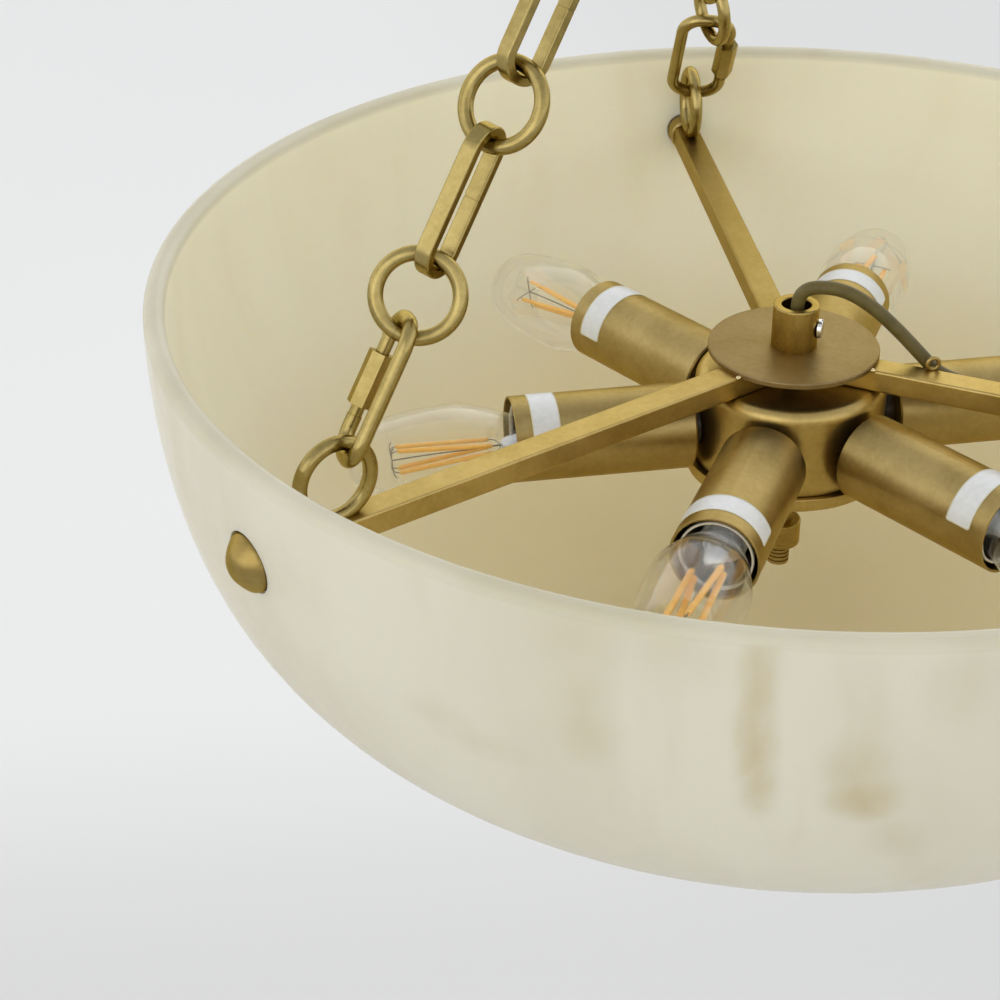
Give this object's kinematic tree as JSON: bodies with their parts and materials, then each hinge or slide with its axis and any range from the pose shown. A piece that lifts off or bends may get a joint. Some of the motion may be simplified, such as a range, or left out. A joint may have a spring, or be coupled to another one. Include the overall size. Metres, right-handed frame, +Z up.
{
  "type": "bowl pendant",
  "caption": "Ceiling pendant with a shallow alabaster bowl carried by ring-and-link chains in antique brass, around a radial cluster of tube lampholders with filament bulbs.",
  "frame": {"origin": "centre of the two ceiling fixing slots, on the ceiling plane at the top of the canopy; everything hangs below it", "axes": "+Z up along the hanging axis, the longest extent; the slots of the crossbar lie along Y and the back arm and chain lie along +Y"},
  "size_m": [0.5579, 0.5635, 0.645],
  "materials": {
    "alabaster": "honed, soft sheen",
    "antique_brass": "brushed and darkened",
    "zinc_steel": "zinc plated",
    "bright_steel": "bright",
    "black_rubber": "matte",
    "black_holder": "matte",
    "white_plastic": "matte",
    "cable_sheath": "satin",
    "clear_glass": "clear",
    "bulb_cap": "satin",
    "filament": "coated"
  },
  "bodies": {
    "ceiling_plate": {"canopy": "antique_brass", "crossbar": "zinc_steel", "canopy_loop": "antique_brass", "canopy_ring_nut": "antique_brass", "stem_nuts": "zinc_steel"},
    "swing_ring": {"hanging_ring": "antique_brass"},
    "pendant": {"bowl": "alabaster", "dome_nuts": "antique_brass", "wall_studs": "zinc_steel", "wall_washers": "antique_brass", "wall_grommets": "black_rubber", "arm_end_bosses": "antique_brass", "end_rings": "antique_brass", "cable_clips": "antique_brass", "arm_left": "antique_brass", "arm_right": "antique_brass", "arm_back": "antique_brass", "hub_top_disc": "antique_brass", "cable_collar": "antique_brass", "collar_set_screw": "bright_steel", "hub_body": "antique_brass", "hub_cover": "antique_brass", "centre_tube": "antique_brass", "hub_nuts": "zinc_steel", "knob_nut": "antique_brass", "lamp_sleeves": "antique_brass", "lampholders": "black_holder", "quick_links": "antique_brass", "eye_bolts": "antique_brass", "collector": "antique_brass", "top_loop": "antique_brass", "terminal_block": "white_plastic", "supply_cable": "cable_sheath", "chain_rings_left": "antique_brass", "flat_links_left": "antique_brass", "chain_rings_right": "antique_brass", "flat_links_right": "antique_brass", "chain_rings_back": "antique_brass", "flat_links_back": "antique_brass"},
    "link_sleeve_left": {"quick_link_sleeve_left": "antique_brass"},
    "link_sleeve_right": {"quick_link_sleeve_right": "antique_brass"},
    "link_sleeve_back": {"quick_link_sleeve_back": "antique_brass"},
    "bulb_front": {"bulb_glass_front": "clear_glass", "bulb_cap_front": "bulb_cap", "bulb_filament_front": "filament"},
    "bulb_front_right": {"bulb_glass_front_right": "clear_glass", "bulb_cap_front_right": "bulb_cap", "bulb_filament_front_right": "filament"},
    "bulb_right": {"bulb_glass_right": "clear_glass", "bulb_cap_right": "bulb_cap", "bulb_filament_right": "filament"},
    "bulb_back": {"bulb_glass_back": "clear_glass", "bulb_cap_back": "bulb_cap", "bulb_filament_back": "filament"},
    "bulb_back_left": {"bulb_glass_back_left": "clear_glass", "bulb_cap_back_left": "bulb_cap", "bulb_filament_back_left": "filament"},
    "bulb_left": {"bulb_glass_left": "clear_glass", "bulb_cap_left": "bulb_cap", "bulb_filament_left": "filament"}
  },
  "joints": [
    {"name": "fore_aft_swing", "type": "hinge", "parent": "ceiling_plate", "child": "swing_ring", "pos_m": [0, 0, -0.0557], "axis": [1, 0, 0], "range_deg": [-5, 5]},
    {"name": "sideways_swing", "type": "hinge", "parent": "swing_ring", "child": "pendant", "pos_m": [0, 0, -0.07735], "axis": [0, 1, 0], "range_deg": [-5, 5]},
    {"name": "link_sleeve_left_screw", "type": "slide", "parent": "pendant", "child": "link_sleeve_left", "axis": [0.4434, 0.256, 0.859], "range_m": [0, 0.0055]},
    {"name": "link_sleeve_right_screw", "type": "slide", "parent": "pendant", "child": "link_sleeve_right", "axis": [-0.4434, 0.256, 0.859], "range_m": [0, 0.0055]},
    {"name": "link_sleeve_back_screw", "type": "slide", "parent": "pendant", "child": "link_sleeve_back", "axis": [0, -0.5335, 0.8458], "range_m": [0, 0.0055]},
    {"name": "bulb_front_unscrew", "type": "slide", "parent": "pendant", "child": "bulb_front", "axis": [-0.4415, -0.8973, 0], "range_m": [0, 0.03]},
    {"name": "bulb_front_right_unscrew", "type": "slide", "parent": "pendant", "child": "bulb_front_right", "axis": [0.5531, -0.8324, -0.0349], "range_m": [0, 0.03]},
    {"name": "bulb_right_unscrew", "type": "slide", "parent": "pendant", "child": "bulb_right", "axis": [0.997, 0.0575, -0.0523], "range_m": [0, 0.03]},
    {"name": "bulb_back_unscrew", "type": "slide", "parent": "pendant", "child": "bulb_back", "axis": [0.4482, 0.8912, -0.0698], "range_m": [0, 0.03]},
    {"name": "bulb_back_left_unscrew", "type": "slide", "parent": "pendant", "child": "bulb_back_left", "axis": [-0.5477, 0.8338, -0.0698], "range_m": [0, 0.03]},
    {"name": "bulb_left_unscrew", "type": "slide", "parent": "pendant", "child": "bulb_left", "axis": [-0.9959, -0.0574, -0.0698], "range_m": [0, 0.03]}
  ]
}
